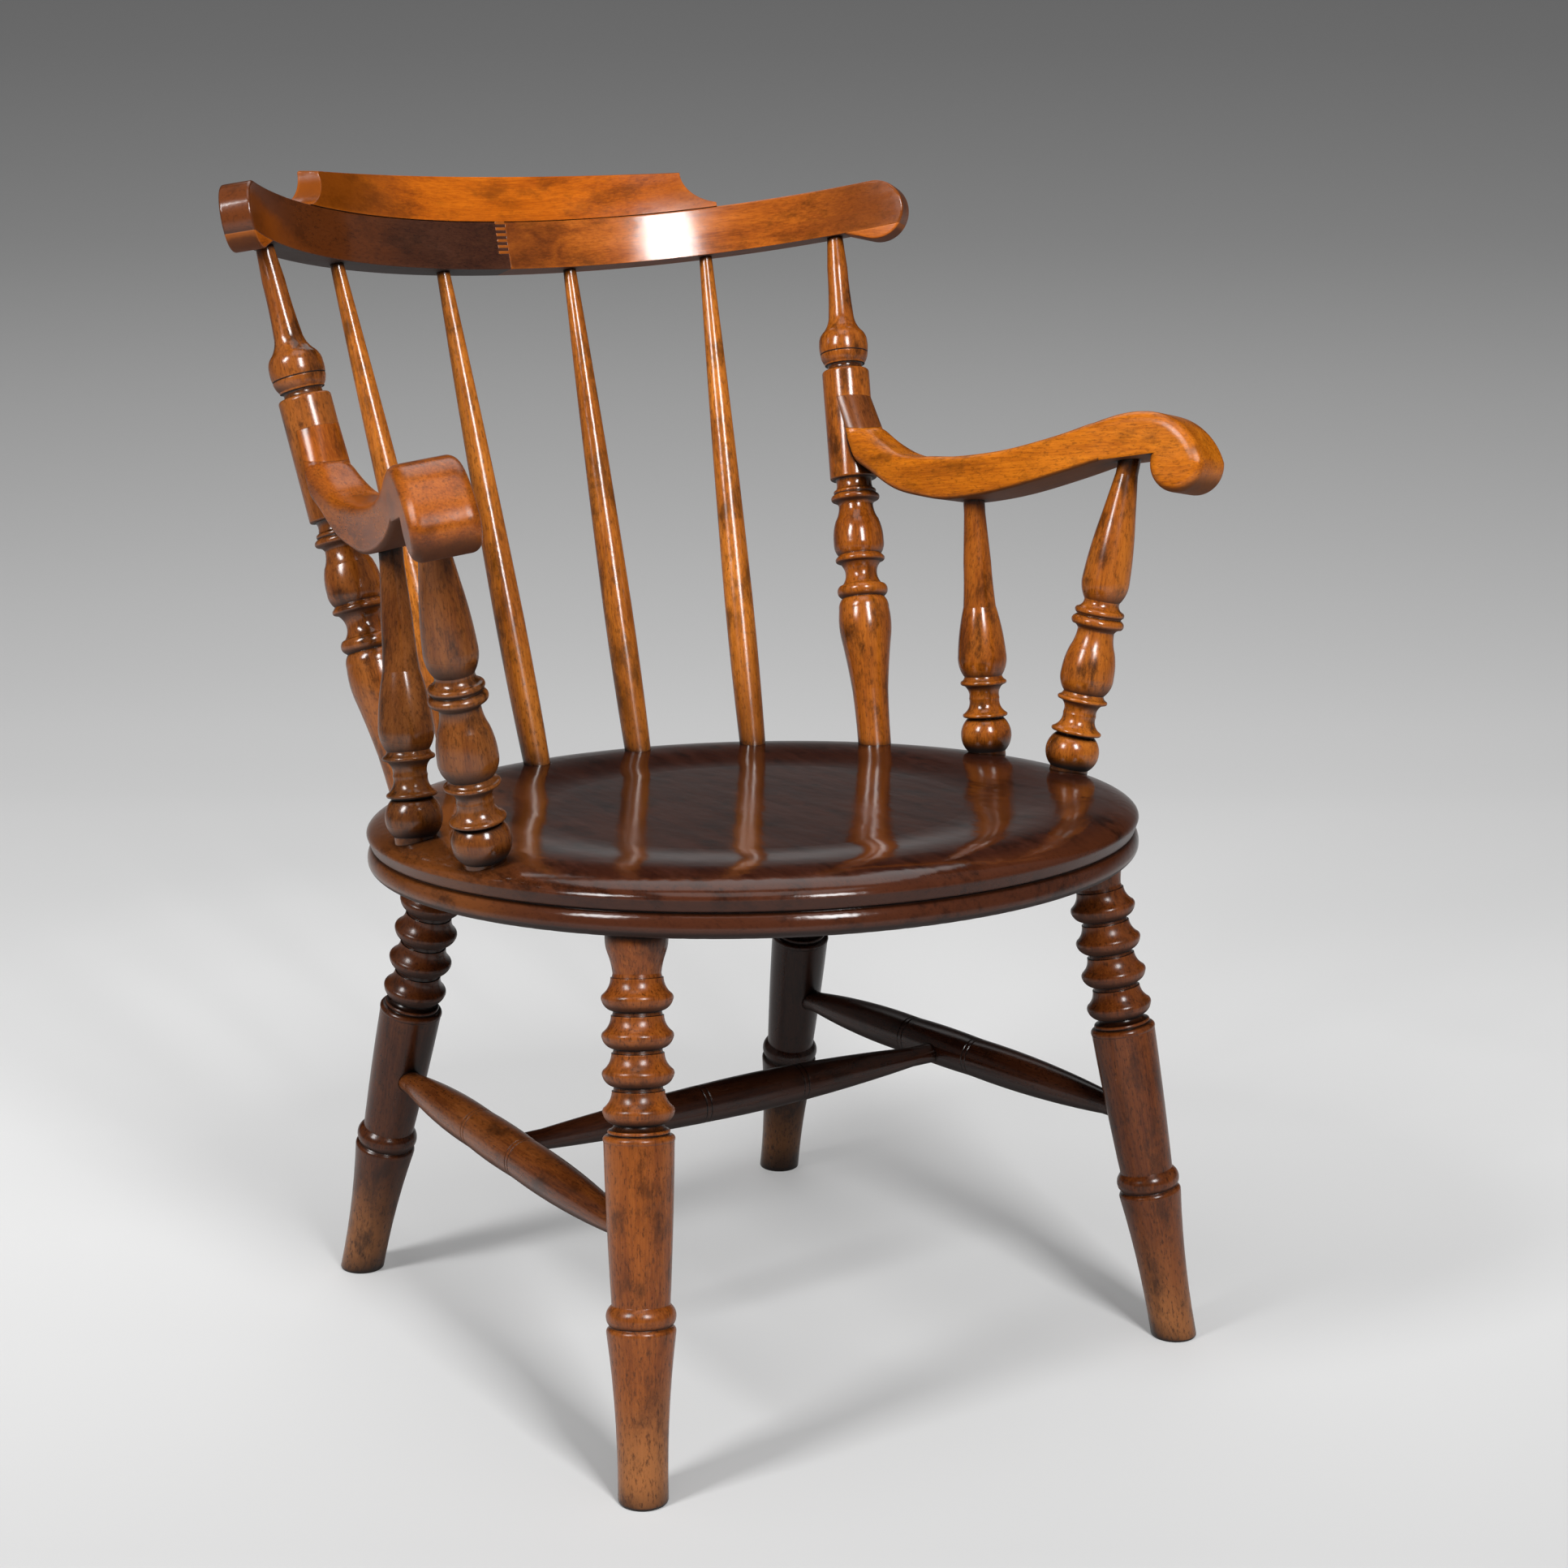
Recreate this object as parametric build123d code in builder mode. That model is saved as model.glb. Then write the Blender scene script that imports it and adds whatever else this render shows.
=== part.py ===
from build123d import *
from math import asin, atan2, cos, degrees, radians, sin, sqrt, tan
import os

os.makedirs("parts", exist_ok=True)

# Elbow chair in millimetres: the front faces -Y and the floor is Z = 0.
# Left is the sitter's left, on +X.
SIDES = (("left", 1), ("right", -1))

# Fits
GLUE_GAP = 0.1
SOCKET_LEAD = 14.0

# Seat
SEAT_RADIUS = 248.0
SEAT_THICKNESS = 35.0
SEAT_HEIGHT = 355.2
SEAT_SLOPE = 2.0
DISH_RADIUS = 140.0
DISH_DEPTH = 4.0
ROLL_WIDTH = 42.0
ROLL_DROP = 11.0
EDGE_GROOVE_TOP = 17.8
EDGE_GROOVE_WIDTH = 1.8
EDGE_GROOVE_DEPTH = 5.0
LOWER_ROLL_INSET = 4.0
UNDERSIDE_INSET = 11.0

# Crest: a bow round a tilted axis, its underside in one plane
CHAIR_HEIGHT = 752.0
CREST_TILT = 14.5
BACK_REACH = 310.8
BACK_HEIGHT = 681.8
BOW_RADIUS = 321.0
RAIL_DEPTH = 20.0
RAIL_HEIGHT = 34.0
RAIL_ROUND = 1.5
EAR_BOW_ANGLE = 50.7
EAR_RADIUS = 21.2
EAR_TAIL = 25.0
EAR_TAIL_END = 7.6
FINGER_COUNT = 6
FINGER_PITCH = 4.2
FINGER_THICKNESS = 2.1
FINGER_LENGTH = 8.0
CRESTING_BLANK_HEIGHT = 48.0
CRESTING_HALF_ANGLE = 32.0
CRESTING_TURN = 2.2
CRESTING_TOP_THICKNESS = 8.5
CRESTING_HOLLOW = 1.5
CRESTING_DIP = 4.0
CRESTING_SCOOP_LENGTH = 31.0
CRESTING_SCOOP_HEIGHT = 22.0
CRESTING_ROUND = 1.5

# Legs: each turned step is a length, the diameter at its end and a bulge
LEG_TRIM = 14.0
LEG_TENON_DIAMETER = 24.0
LEG_TENON_LENGTH = 27.0
FOOT_DIAMETER = 29.5
FOOT_ROUND = 1.5
LEG_SHOULDER_DIAMETER = 41.2
LEG_SHAFT_BULGE = 0.4
LEG_TOP_DIAMETER = 35.6
LEG_RING_COUNT = 4
LEG_FOOT_STEPS = ((98.0, 40.5, -1.8), (3.2, 38.0, 0.5), (0.8, 36.6, 0), (11.0, 36.4, 2.2), (1.2, 34.2, 0))
LEG_SHOULDER_STEPS = ((4.0, 37.2, 1.3), (0.4, 35.0, 0), (2.6, 34.6, 0.8), (3.0, 28.6, -0.6))
LEG_RING_STEPS = ((6.2, 41.4, 1.3), (3.4, 40.6, 0.5), (9.8, 30.8, -1.3), (0, 29.2, 0), (2.4, 28.2, 0))
LEG_CUP_STEPS = ((12.0, 34.0, -0.4), (13.4, LEG_TOP_DIAMETER, 1.0))

# Leg places: angle round the seat from the back, foot from the seat's axis
FRONT_LEG_ANGLE = 127.6
FRONT_LEG_INSET = 28.8
FRONT_FEET_SPREAD = 414.2
FRONT_FOOT_AHEAD = 189.0
BACK_LEG_ANGLE = 46.3
BACK_LEG_INSET = 39.0
BACK_FEET_SPREAD = 357.4
BACK_FOOT_BEHIND = 226.0

# Stretchers
STRETCHER_HEIGHT = 149.5
STRETCHER_PAST_AXIS = 4.0
STRETCHER_END_DIAMETER = 15.4
STRETCHER_STRAIGHT = 32.0
STRETCHER_BELLY_BULGE = 0.6
SIDE_BELLY_DIAMETER = 28.0
SIDE_TAPER_BULGE = 2.0
SIDE_BAND_LENGTH = 66.0
CROSS_PLACE = 186.0
CROSS_END_DIAMETER = 13.6
CROSS_BELLY_DIAMETER = 26.6
CROSS_TAPER_BULGE = 0.7
CROSS_BAND_LENGTH = 79.0
CROSS_BAND_SHIFT = 11.0
CROSS_DROP = 2.5
CROSS_PAST_AXIS = 2.0
LINE_WIDTH = 1.2
LINE_DEPTH = 0.7
LINE_SPACE = 2.6

# Back posts
POST_INSET = 29.2
POST_SEAT_ANGLE = 58.0
POST_BOW_ANGLE = 44.6
POST_TENON_LENGTH = 26.0
POST_FOOT_DIAMETER = 23.6
POST_TOP_DIAMETER = 11.4
POST_TOP_TENON = 20.0
DRUM_DIAMETER = 34.1
POST_VASE_STEPS = (
    (38.0, 25.8, -0.3), (40.0, 36.4, -0.4), (19.0, 36.2, 0.7), (8.5, 30.4, 0.9), (1.0, 32.6, 0),
    (8.0, 32.6, 1.9), (0.8, 28.4, 0), (15.4, 29.0, -3.0), (0.8, 33.4, 0), (3.8, 33.4, 1.1),
    (1.6, 31.0, 0), (9.0, 36.2, 0.9), (16.0, 31.4, 0.8), (11.0, 24.8, -0.8), (3.0, 31.2, -0.6),
    (4.6, 32.6, 1.6), (1.0, 29.8, 0), (2.5, 29.8, 0.5), (1.0, 26.6, 0), (7.0, 26.6, -0.7),
    (0, 32.0, 0), (2.0, DRUM_DIAMETER, 0.4),
)
DRUM_LENGTH = 76.0
POST_BULB_STEPS = (
    (2.2, 30.4, 0.5), (0, 26.4, 0), (4.2, 26.0, -0.7), (0, 29.0, 0), (1.2, 29.4, 0),
    (6.6, 34.4, 0.5), (0.5, 33.2, 0), (0.5, 34.6, 0), (7.2, 35.2, 0.3), (9.0, 27.2, 1.1),
    (12.0, 18.2, -1.1), (35.0, 14.8, -0.4),
)

# Back spindles
SPINDLE_INSET = 38.0
INNER_SPINDLE_SEAT_ANGLE = 11.4
INNER_SPINDLE_BOW_ANGLE = 9.2
OUTER_SPINDLE_SEAT_ANGLE = 34.4
OUTER_SPINDLE_BOW_ANGLE = 27.5
SPINDLE_FOOT_DIAMETER = 18.6
SPINDLE_BELLY_DIAMETER = 20.6
SPINDLE_BELLY_HEIGHT = 105.0
SPINDLE_TOP_DIAMETER = 9.2
SPINDLE_TENON_LENGTH = 24.0
SPINDLE_TOP_TENON = 18.0
SPINDLE_FOOT_BULGE = 0.4
SPINDLE_TAPER_BULGE = 0.7

# Arms: sections as ahead, rise, slope, cant, width, thickness, top and bottom rounds
ARM_SHOULDER = 250.5
ARM_NOTCH_DEPTH = 9.4
ARM_NOTCH_LENGTH = 45.5
ARM_BEND_RADIUS = 610.0
ARM_TURNED_ROUND = 16.9
ARM_TONGUE_SECTIONS = (
    (14.6, -26.2, -60.0, 0, 34.0, 33.0, 14.0, 14.0),
    (45.6, -37.9, -33.0, 3.0, 33.2, 22.0, 9.0, 6.0),
    (72.0, -46.6, -11.5, 6.0, 34.0, 24.5, 7.0, 3.4),
    (105.0, -48.5, 1.0, 9.0, 35.0, 29.5, 6.5, 3.0),
)
ARM_STUMP_SECTION = (128.6, -47.0, 6.5, 10.0, 35.7, 30.0, 6.5, 3.0)
ARM_RISE_SECTIONS = (
    (165.0, -39.6, 15.0, 11.0, 37.2, 28.0, 6.5, 3.0),
    (200.0, -28.6, 19.5, 11.0, 38.8, 26.6, 6.5, 3.0),
)
ARM_END_SECTION = (232.6, -16.2, 20.5, 10.0, 40.0, 26.5, 6.5, 3.0)
ARM_SECTIONS = (*ARM_TONGUE_SECTIONS, ARM_STUMP_SECTION, *ARM_RISE_SECTIONS, ARM_END_SECTION)
ARM_END_WIDTH, ARM_END_THICKNESS, ARM_END_ROUND = ARM_END_SECTION[4:7]

# Arm scroll, as ahead and rise from the centre of the last section
SCROLL_CROWN = (35.0, 21.6)
SCROLL_TIP = (79.0, -8.0)
LOBE_BOTTOM = (60.5, -30.5)
LOBE_BACK = (40.5, -13.0)
SCROLL_NOTCH_DROP = 6.5

# Glued block on the arm's rear tongue, and the screw behind it
ARM_BLOCK_DROP = 17.8
ARM_BLOCK_REACH = 90.0
SCREW_DROP = 29.5
SCREW_LENGTH = 33.0
SCREW_DIAMETER = 4.4
SCREW_HEAD_DIAMETER = 8.6
SCREW_HEAD_HEIGHT = 3.0
PELLET_DIAMETER = 9.5
PELLET_DEPTH = 6.0

# Arm stumps
FRONT_STUMP_INSET = 17.0
FRONT_STUMP_ANGLE = 102.6
FRONT_STUMP_AHEAD = 18.5
FRONT_STUMP_RISE = 4.0
REAR_STUMP_INSET = 20.0
REAR_STUMP_ANGLE = 80.7
STUMP_TRIM = 9.0
STUMP_TENON_DIAMETER = 19.0
STUMP_TENON_LENGTH = 27.0
STUMP_FOOT_DIAMETER = 26.0
STUMP_TOP_DIAMETER = 15.0
STUMP_TOP_TENON = 24.0
FRONT_STUMP_STEPS = (
    (22.6, 26.0, 5.2), (0.6, 25.4, 0), (0.8, 32.4, 0), (2.6, 32.4, 0.8), (10.4, 22.6, -2.0),
    (8.0, 27.4, -1.3), (0.8, 32.4, 0), (2.6, 32.4, 0.8), (3.2, 27.4, -0.6), (13.0, 36.0, 1.5),
    (17.0, 30.6, 0.7), (12.9, 24.8, -0.7), (3.0, 32.8, -0.7), (5.0, 33.6, 1.2), (1.5, 30.0, 0),
    (1.0, 31.0, 0), (4.0, 31.4, 1.2), (4.5, 23.8, -0.9), (1.5, 24.0, 0), (14.0, 32.1, 1.2),
    (40.0, 24.0, 0.6),
)
REAR_STUMP_STEPS = (
    (23.0, 26.0, 4.7), (0.6, 25.0, 0), (0.8, 30.0, 0), (2.4, 30.0, 0.7), (10.5, 21.4, -1.8),
    (9.0, 26.8, -1.4), (0.8, 31.0, 0), (2.6, 31.0, 0.7), (3.2, 26.4, -0.5), (15.5, 33.8, 1.5),
    (33.0, 22.8, 0.8), (31.0, 19.4, -0.3),
)

# Frame: the origin is the middle of the chair's footprint on the floor
SEAT_FRONT = SEAT_RADIUS * cos(radians(SEAT_SLOPE)) + SEAT_THICKNESS * sin(radians(SEAT_SLOPE))
RAIL_BACK = BACK_REACH + RAIL_DEPTH / 2 * cos(radians(CREST_TILT))
RAIL_BACK_HEIGHT = BACK_HEIGHT - RAIL_DEPTH / 2 * sin(radians(CREST_TILT))
CREST_BACK = RAIL_BACK + (CHAIR_HEIGHT - CRESTING_DIP - RAIL_BACK_HEIGHT) * tan(radians(CREST_TILT))
SEAT_Y = (SEAT_FRONT - CREST_BACK) / 2


def tilted_plane(origin, tilt):
    """Level plane leant back by an angle in degrees."""
    return Plane(origin=origin, x_dir=(1, 0, 0), z_dir=(0, sin(radians(tilt)), cos(radians(tilt))))


SEAT_TOP = tilted_plane((0, SEAT_Y, SEAT_HEIGHT), SEAT_SLOPE)
SEAT_BOTTOM = SEAT_TOP.offset(-SEAT_THICKNESS)
BOW_MIDDLE = tilted_plane((0, SEAT_Y + BACK_REACH, BACK_HEIGHT), CREST_TILT)
CREST_BASE = tilted_plane(BOW_MIDDLE.from_local_coords((0, -BOW_RADIUS, 0)), CREST_TILT)
RAIL_INNER = BOW_RADIUS - RAIL_DEPTH / 2
RAIL_OUTER = BOW_RADIUS + RAIL_DEPTH / 2


def round_point(plane, sign, radius, angle):
    """Point on a plane at a radius and an angle from the back, on one side."""
    return plane.from_local_coords((sign * radius * sin(radians(angle)), radius * cos(radians(angle)), 0))


def seat_point(sign, angle, inset):
    """Point on the seat's top, an inset in from its edge."""
    return round_point(SEAT_TOP, sign, SEAT_RADIUS - inset, angle)


def unit(start, end):
    """Direction from one point to another."""
    return (end - start).normalized()


def turning_plane(start, axis):
    """Plane for a turned outline: X is the radius and Y runs along the axis."""
    other = Vector(0, 1, 0) if abs(axis.X) > abs(axis.Y) + abs(axis.Z) else Vector(1, 0, 0)
    across = axis.cross(other).normalized()
    return Plane(origin=start, x_dir=across, z_dir=across.cross(axis))


def turned_outline(first_diameter, steps):
    """Half outline of a turned piece, from its axis out, along its steps and back."""
    height = 0
    point = (first_diameter / 2, height)
    Line((0, 0), point)
    for length, diameter, bulge in steps:
        height += length
        target = (diameter / 2, height)
        if bulge:
            SagittaArc(point, target, -bulge)
        else:
            Line(point, target)
        point = target
    Polyline(point, (0, height), (0, 0))


def run(steps):
    """Length of a row of turned steps."""
    return sum(step[0] for step in steps)


def socket_plane(tip, toward):
    """Plane at a socket's bottom, a glue gap past the tenon's tip."""
    return Plane(origin=tip - toward * GLUE_GAP, z_dir=toward)


# Members between the seat and the crest
def post_ends(sign):
    """Back post on the seat and under the crest."""
    foot = seat_point(sign, POST_SEAT_ANGLE, POST_INSET)
    return foot, round_point(CREST_BASE, sign, BOW_RADIUS, POST_BOW_ANGLE)


def spindle_ends(sign, seat_angle, bow_angle):
    """Back spindle on the seat and under the crest."""
    foot = seat_point(sign, seat_angle, SPINDLE_INSET)
    return foot, round_point(CREST_BASE, sign, BOW_RADIUS, bow_angle)


SPINDLES = (
    ("inner", INNER_SPINDLE_SEAT_ANGLE, INNER_SPINDLE_BOW_ANGLE),
    ("outer", OUTER_SPINDLE_SEAT_ANGLE, OUTER_SPINDLE_BOW_ANGLE),
)


# Legs and stretchers
def leg_ends(sign, row):
    """Foot and head of a leg, on the floor and under the seat."""
    if row == "front":
        foot = Vector(sign * FRONT_FEET_SPREAD / 2, SEAT_Y - FRONT_FOOT_AHEAD, 0)
        return foot, round_point(SEAT_BOTTOM, sign, SEAT_RADIUS - FRONT_LEG_INSET, FRONT_LEG_ANGLE)
    foot = Vector(sign * BACK_FEET_SPREAD / 2, SEAT_Y + BACK_FOOT_BEHIND, 0)
    return foot, round_point(SEAT_BOTTOM, sign, SEAT_RADIUS - BACK_LEG_INSET, BACK_LEG_ANGLE)


def stretcher_ends(sign):
    """Points on the front and back legs' axes where a side stretcher meets them."""
    ends = []
    for row in ("front", "back"):
        foot, head = leg_ends(sign, row)
        ends.append(foot + (head - foot) * (STRETCHER_HEIGHT / head.Z))
    return ends


def cross_end(sign):
    """Point on a side stretcher's axis where the cross stretcher meets it."""
    front, back = stretcher_ends(sign)
    return front + unit(front, back) * CROSS_PLACE - Vector(0, 0, CROSS_DROP)


def line_pair(diameter):
    """Two incised lines round a stretcher."""
    low = diameter - 2 * LINE_DEPTH
    line = ((LINE_WIDTH / 2, low, 0), (LINE_WIDTH / 2, diameter, 0))
    return (*line, (LINE_SPACE, diameter, 0), *line)


def stretcher_steps(before, after, end_diameter, belly_diameter, band, taper_bulge):
    """Turned steps of a stretcher, by its length before and after its belly's middle."""
    edge = belly_diameter - 2 * STRETCHER_BELLY_BULGE
    pair = line_pair(edge)
    used = STRETCHER_STRAIGHT + band / 2 + run(pair) / 2
    straight = (STRETCHER_STRAIGHT, end_diameter, 0)
    rise = (before - used, edge, taper_bulge)
    belly = (band - run(pair), edge, STRETCHER_BELLY_BULGE)
    fall = (after - used, end_diameter, taper_bulge)
    return (straight, rise, *pair, belly, *pair, fall, straight)


# Arms
def drum_plane(sign):
    """Plane across the post at the arm's shoulder: Y looks ahead and Z down the post."""
    foot, head = post_ends(sign)
    axis = unit(foot, head)
    side = Vector(1, 0, 0) - axis * axis.X
    return Plane(origin=foot + axis * ARM_SHOULDER, x_dir=side, z_dir=axis * -1)


def arm_swing(ahead):
    """Angle in plan between the arm and straight ahead."""
    return asin(ahead / ARM_BEND_RADIUS)


def arm_plane(sign, section):
    """Plane of one of the arm's sections: X is across, Y is up and Z is ahead."""
    ahead, rise, slope, cant = section[:4]
    swing = arm_swing(ahead)
    out = ARM_BEND_RADIUS * (1 - cos(swing))
    middle = drum_plane(sign).origin + Vector(sign * out, -ahead, rise)
    level = cos(radians(slope))
    toward = Vector(sign * sin(swing) * level, -cos(swing) * level, sin(radians(slope)))
    across = Vector(cos(swing), sign * sin(swing), 0)
    leant = across * cos(radians(cant)) - toward.cross(across) * (sign * sin(radians(cant)))
    return Plane(origin=middle, x_dir=leant, z_dir=toward)


def scroll_plane(sign):
    """Plane along the arm through its last section: X is ahead and Y is up."""
    swing = arm_swing(ARM_END_SECTION[0])
    end = arm_plane(sign, ARM_END_SECTION)
    return Plane(origin=end.origin, x_dir=(sign * sin(swing), -cos(swing), 0), z_dir=end.x_dir * -1)


def notch_plane(sign):
    """Face of the post that the arm's tongue lies on, looking back."""
    drum = drum_plane(sign)
    toward = drum.y_dir * -ARM_NOTCH_LENGTH + drum.z_dir * ARM_NOTCH_DEPTH
    place = drum.origin + drum.y_dir * (DRUM_DIAMETER / 2 - ARM_NOTCH_DEPTH)
    return Plane(origin=place, x_dir=drum.x_dir, z_dir=toward)


def screw_plane(sign):
    """Plane across the screw at the pellet's inner face: Z looks ahead."""
    drum = drum_plane(sign)
    place = drum.origin + drum.z_dir * SCREW_DROP - drum.y_dir * (DRUM_DIAMETER / 2 - PELLET_DEPTH)
    return Plane(origin=place, x_dir=drum.x_dir, z_dir=drum.y_dir)


def stump_ends(sign, row):
    """Arm stump on the seat and inside the arm."""
    if row == "front":
        foot = seat_point(sign, FRONT_STUMP_ANGLE, FRONT_STUMP_INSET)
        return foot, scroll_plane(sign).from_local_coords((FRONT_STUMP_AHEAD, FRONT_STUMP_RISE, 0))
    foot = seat_point(sign, REAR_STUMP_ANGLE, REAR_STUMP_INSET)
    return foot, arm_plane(sign, ARM_STUMP_SECTION).origin


def seat_tenons():
    """Each tenon in the seat: its tip, the way out, its diameter and its length."""
    tenons = []
    for _, sign in SIDES:
        for row in ("front", "back"):
            foot, head = leg_ends(sign, row)
            tip = head + unit(foot, head) * LEG_TENON_LENGTH
            tenons.append((tip, unit(head, foot), LEG_TENON_DIAMETER, LEG_TENON_LENGTH))
        for row in ("front", "rear"):
            foot, head = stump_ends(sign, row)
            tip = foot + unit(head, foot) * STUMP_TENON_LENGTH
            tenons.append((tip, unit(foot, head), STUMP_TENON_DIAMETER, STUMP_TENON_LENGTH))
        foot, head = post_ends(sign)
        tip = foot + unit(head, foot) * POST_TENON_LENGTH
        tenons.append((tip, unit(foot, head), POST_FOOT_DIAMETER, POST_TENON_LENGTH))
        for _, seat_angle, bow_angle in SPINDLES:
            foot, head = spindle_ends(sign, seat_angle, bow_angle)
            tip = foot + unit(head, foot) * SPINDLE_TENON_LENGTH
            tenons.append((tip, unit(foot, head), SPINDLE_FOOT_DIAMETER, SPINDLE_TENON_LENGTH))
    return tenons


def crest_tenons(sign):
    """Each tenon in one half of the crest: its tip, the way out, its diameter and its length."""
    foot, head = post_ends(sign)
    tip = head + unit(foot, head) * POST_TOP_TENON
    tenons = [(tip, unit(head, foot), POST_TOP_DIAMETER, POST_TOP_TENON)]
    for _, seat_angle, bow_angle in SPINDLES:
        foot, head = spindle_ends(sign, seat_angle, bow_angle)
        tip = head + unit(foot, head) * SPINDLE_TOP_TENON
        tenons.append((tip, unit(head, foot), SPINDLE_TOP_DIAMETER, SPINDLE_TOP_TENON))
    return tenons


# Seat
with BuildPart() as seat_blank:
    with BuildSketch(Plane(origin=SEAT_TOP.origin, x_dir=SEAT_TOP.x_dir, z_dir=SEAT_TOP.y_dir * -1)):
        with BuildLine():
            groove_top = (SEAT_RADIUS - EDGE_GROOVE_DEPTH / 2, -EDGE_GROOVE_TOP)
            groove_bottom = (SEAT_RADIUS - EDGE_GROOVE_DEPTH, -EDGE_GROOVE_TOP - EDGE_GROOVE_WIDTH / 2)
            lower_top = (SEAT_RADIUS - LOWER_ROLL_INSET, -EDGE_GROOVE_TOP - EDGE_GROOVE_WIDTH)
            lower_middle = (lower_top[1] - SEAT_THICKNESS) / 2
            lower_half = lower_top[1] - lower_middle
            underside = (SEAT_RADIUS - UNDERSIDE_INSET, -SEAT_THICKNESS)
            dish_edge = (DISH_RADIUS, -DISH_DEPTH)
            Polyline(underside, (0, -SEAT_THICKNESS), (0, -DISH_DEPTH), dish_edge)
            Spline(dish_edge, (SEAT_RADIUS - ROLL_WIDTH, 0), tangents=[(1, 0), (1, 0)])
            EllipticalCenterArc(
                (SEAT_RADIUS - ROLL_WIDTH, -ROLL_DROP), ROLL_WIDTH, ROLL_DROP, start_angle=0, arc_size=90
            )
            Polyline((SEAT_RADIUS, -ROLL_DROP), groove_top, groove_bottom, lower_top)
            EllipticalCenterArc(
                (lower_top[0], lower_middle), LOWER_ROLL_INSET, lower_half, start_angle=0, arc_size=90
            )
            EllipticalCenterArc(
                (underside[0], lower_middle), UNDERSIDE_INSET, lower_half, start_angle=270, arc_size=90
            )
        make_face()
    revolve(axis=Axis(SEAT_TOP.origin, SEAT_TOP.z_dir))

with BuildPart() as seat:
    add(seat_blank.part)
    for tip, way_out, diameter, length in seat_tenons():
        with BuildSketch(socket_plane(tip, way_out)):
            Circle(diameter / 2 + GLUE_GAP)
        extrude(amount=length + SOCKET_LEAD, mode=Mode.SUBTRACT)
seat.part.label = "seat"
export_step(seat.part, "parts/seat.step")

# Legs
for side, sign in SIDES:
    for row in ("front", "back"):
        foot, head = leg_ends(sign, row)
        axis = unit(foot, head)
        shaft = (head - foot).length - run(LEG_FOOT_STEPS + LEG_SHOULDER_STEPS + LEG_CUP_STEPS)
        shaft -= LEG_RING_COUNT * run(LEG_RING_STEPS)
        steps = (
            (LEG_TRIM, FOOT_DIAMETER, 0), *LEG_FOOT_STEPS, (shaft, LEG_SHOULDER_DIAMETER, LEG_SHAFT_BULGE),
            *LEG_SHOULDER_STEPS, *LEG_RING_STEPS * LEG_RING_COUNT, *LEG_CUP_STEPS,
            (LEG_TRIM, LEG_TOP_DIAMETER, 0),
        )
        start = foot - axis * LEG_TRIM
        with BuildPart() as leg:
            with BuildSketch(turning_plane(start, axis)):
                with BuildLine():
                    turned_outline(FOOT_DIAMETER, steps)
                make_face()
            revolve(axis=Axis(start, axis))
            split(bisect_by=Plane.XY, keep=Keep.TOP)
            split(bisect_by=SEAT_BOTTOM, keep=Keep.BOTTOM)
            fillet(leg.faces().sort_by(Axis.Z)[0].edges(), FOOT_ROUND)
            with BuildSketch(Plane(origin=head - axis * LEG_TRIM, z_dir=axis)):
                Circle(LEG_TENON_DIAMETER / 2)
            extrude(amount=LEG_TRIM + LEG_TENON_LENGTH)
            front, back = stretcher_ends(sign)
            joint, far = (front, back) if row == "front" else (back, front)
            way_out = unit(joint, far)
            with BuildSketch(socket_plane(joint - way_out * STRETCHER_PAST_AXIS, way_out)):
                Circle(STRETCHER_END_DIAMETER / 2 + GLUE_GAP)
            extrude(amount=LEG_SHOULDER_DIAMETER, mode=Mode.SUBTRACT)
        leg.part.label = f"leg_{row}_{side}"
        export_step(leg.part, f"parts/leg_{row}_{side}.step")

# Side stretchers
for side, sign in SIDES:
    front, back = stretcher_ends(sign)
    axis = unit(front, back)
    start = front - axis * STRETCHER_PAST_AXIS
    before = CROSS_PLACE + STRETCHER_PAST_AXIS
    after = (back - front).length - CROSS_PLACE + STRETCHER_PAST_AXIS
    joint = cross_end(sign)
    way_out = unit(joint, cross_end(-sign))
    with BuildPart() as side_stretcher:
        with BuildSketch(turning_plane(start, axis)):
            with BuildLine():
                steps = stretcher_steps(
                    before, after, STRETCHER_END_DIAMETER, SIDE_BELLY_DIAMETER, SIDE_BAND_LENGTH,
                    SIDE_TAPER_BULGE,
                )
                turned_outline(STRETCHER_END_DIAMETER, steps)
            make_face()
        revolve(axis=Axis(start, axis))
        with BuildSketch(socket_plane(joint - way_out * CROSS_PAST_AXIS, way_out)):
            Circle(CROSS_END_DIAMETER / 2 + GLUE_GAP)
        extrude(amount=SIDE_BELLY_DIAMETER, mode=Mode.SUBTRACT)
    side_stretcher.part.label = f"side_stretcher_{side}"
    export_step(side_stretcher.part, f"parts/side_stretcher_{side}.step")

# Cross stretcher
cross_axis = unit(cross_end(-1), cross_end(1))
cross_start = cross_end(-1) - cross_axis * CROSS_PAST_AXIS
cross_half = (cross_end(1) - cross_end(-1)).length / 2 + CROSS_PAST_AXIS
with BuildPart() as cross_stretcher:
    with BuildSketch(turning_plane(cross_start, cross_axis)):
        with BuildLine():
            steps = stretcher_steps(
                cross_half + CROSS_BAND_SHIFT, cross_half - CROSS_BAND_SHIFT,
                CROSS_END_DIAMETER, CROSS_BELLY_DIAMETER, CROSS_BAND_LENGTH, CROSS_TAPER_BULGE,
            )
            turned_outline(CROSS_END_DIAMETER, steps)
        make_face()
    revolve(axis=Axis(cross_start, cross_axis))
cross_stretcher.part.label = "cross_stretcher"
export_step(cross_stretcher.part, "parts/cross_stretcher.step")

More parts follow.
